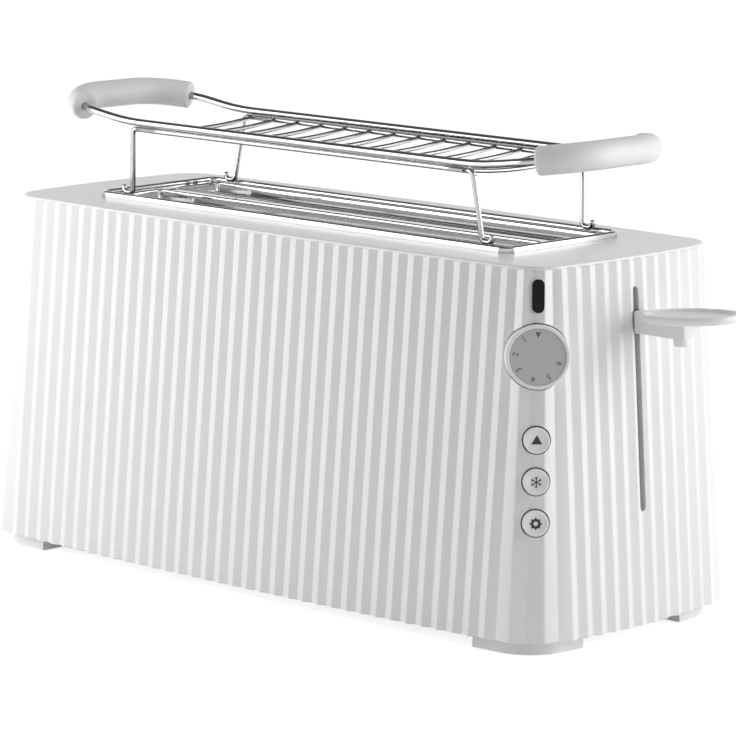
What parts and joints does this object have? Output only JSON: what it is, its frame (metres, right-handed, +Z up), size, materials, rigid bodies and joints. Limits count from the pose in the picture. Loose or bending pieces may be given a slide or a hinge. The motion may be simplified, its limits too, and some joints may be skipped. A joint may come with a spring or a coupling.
{
  "type": "toaster",
  "caption": "Long-slot toaster with a pleated flared casing, chrome slot deck, corner controls, a side lever and a lift-off wire warming rack.",
  "frame": {"origin": "middle of the whole object in plan, on the surface that it stands on", "axes": "+X along the long side towards the lever, -Y towards the front, +Z up"},
  "size_m": [0.4494, 0.1732, 0.2492],
  "materials": {
    "white_shell": "satin white moulded plastic",
    "white_trim": "fine matt white plastic",
    "knob_grey": "satin pale grey insert",
    "chrome_sheet": "polished chromed sheet",
    "chrome_wire": "bright chromed wire",
    "zinc_sheet": "zinc-plated sheet",
    "aluminised": "aluminised reflector sheet",
    "mica": "pressed mica board",
    "ribbon": "heating ribbon",
    "dark_window": "smoked gloss window",
    "board_green": "lacquered circuit board",
    "black_part": "black moulded plastic",
    "copper": "lacquered winding",
    "core_iron": "laminated iron core",
    "rubber": "black rubber",
    "base_plastic": "heat-resistant base plastic"
  },
  "bodies": {
    "housing": {"base_plate": "base_plastic", "base_screws": "zinc_sheet", "bulkhead_left": "zinc_sheet", "bulkhead_right": "zinc_sheet", "button_switches": "black_part", "carriage_spring": "zinc_sheet", "casing": "white_shell", "control_board": "board_green", "cord_bush": "black_part", "electromagnet_coil": "copper", "electromagnet_core": "core_iron", "foot_back_left": "white_trim", "foot_back_right": "white_trim", "foot_front_left": "white_trim", "foot_front_right": "white_trim", "foot_pads": "rubber", "guide_bracket": "zinc_sheet", "guide_rods": "zinc_sheet", "heat_shield_back": "aluminised", "heat_shield_front": "aluminised", "heater_board_back": "mica", "heater_board_centre": "mica", "heater_board_front": "mica", "heater_ribbons_back": "ribbon", "heater_ribbons_centre": "ribbon", "heater_ribbons_front": "ribbon", "indicator_window": "dark_window", "mains_switch": "black_part", "potentiometer": "black_part", "slot_deck": "chrome_sheet", "terminal_block": "black_part"},
    "carriage": {"carriage": "zinc_sheet", "armature": "core_iron", "lever_arm": "zinc_sheet", "lever_paddle": "white_trim", "bread_lifter_front": "zinc_sheet", "bread_lifter_back": "zinc_sheet"},
    "guard_1": {"bread_guard_1": "chrome_wire"},
    "guard_2": {"bread_guard_2": "chrome_wire"},
    "guard_3": {"bread_guard_3": "chrome_wire"},
    "guard_4": {"bread_guard_4": "chrome_wire"},
    "knob": {"browning_knob": "white_trim", "browning_knob_face": "knob_grey", "browning_shaft": "zinc_sheet"},
    "cancel": {"cancel_button": "white_trim"},
    "defrost": {"defrost_button": "white_trim"},
    "reheat": {"reheat_button": "white_trim"},
    "tray": {"crumb_tray": "aluminised", "crumb_tray_front": "white_shell"},
    "rack": {"rack_loop": "chrome_wire", "rack_cross_wires": "chrome_wire", "rack_lower_rail_front": "chrome_wire", "rack_lower_rail_back": "chrome_wire", "rack_sleeve_left": "white_trim", "rack_sleeve_right": "white_trim", "rack_leg_front_left": "chrome_wire", "rack_leg_front_right": "chrome_wire", "rack_leg_back_left": "chrome_wire", "rack_leg_back_right": "chrome_wire"}
  },
  "joints": [
    {"name": "lever_slide", "type": "slide", "parent": "housing", "child": "carriage", "axis": [-0.0753, 0, 0.9972], "range_m": [-0.085, 0.009], "stiffness_N_per_m": 60, "springref_m": 0.0243, "deforming": ["carriage_spring"]},
    {"name": "guard_1_slide", "type": "slide", "parent": "housing", "child": "guard_1", "axis": [0, 1, 0], "range_m": [-0.0006, 0.005]},
    {"name": "guard_2_slide", "type": "slide", "parent": "housing", "child": "guard_2", "axis": [0, 1, 0], "range_m": [-0.005, 0.0006]},
    {"name": "guard_3_slide", "type": "slide", "parent": "housing", "child": "guard_3", "axis": [0, 1, 0], "range_m": [-0.0006, 0.005]},
    {"name": "guard_4_slide", "type": "slide", "parent": "housing", "child": "guard_4", "axis": [0, 1, 0], "range_m": [-0.005, 0.0006]},
    {"name": "knob_turn", "type": "hinge", "parent": "housing", "child": "knob", "pos_m": [0.15775, -0.0657, 0.1453], "axis": [0.7051, -0.7051, 0.0753], "range_deg": [-150, 120]},
    {"name": "cancel_press", "type": "slide", "parent": "housing", "child": "cancel", "axis": [-0.7051, 0.7051, -0.0753], "range_m": [0, 0.0015], "stiffness_N_per_m": 400, "springref_m": -0.0005},
    {"name": "defrost_press", "type": "slide", "parent": "housing", "child": "defrost", "axis": [-0.7051, 0.7051, -0.0753], "range_m": [0, 0.0015], "stiffness_N_per_m": 400, "springref_m": -0.0005},
    {"name": "reheat_press", "type": "slide", "parent": "housing", "child": "reheat", "axis": [-0.7051, 0.7051, -0.0753], "range_m": [0, 0.0015], "stiffness_N_per_m": 400, "springref_m": -0.0005},
    {"name": "tray_slide", "type": "slide", "parent": "housing", "child": "tray", "axis": [-1, 0, 0], "range_m": [0, 0.33]},
    {"name": "rack_lift", "type": "slide", "parent": "housing", "child": "rack", "axis": [0, 0, 1], "range_m": [0, 0.12]}
  ],
  "couplings": [
    {"joint": "guard_1_slide", "follows": "lever_slide", "ratio": -0.058824},
    {"joint": "guard_2_slide", "follows": "lever_slide", "ratio": 0.058824},
    {"joint": "guard_3_slide", "follows": "lever_slide", "ratio": -0.058824},
    {"joint": "guard_4_slide", "follows": "lever_slide", "ratio": 0.058824}
  ]
}
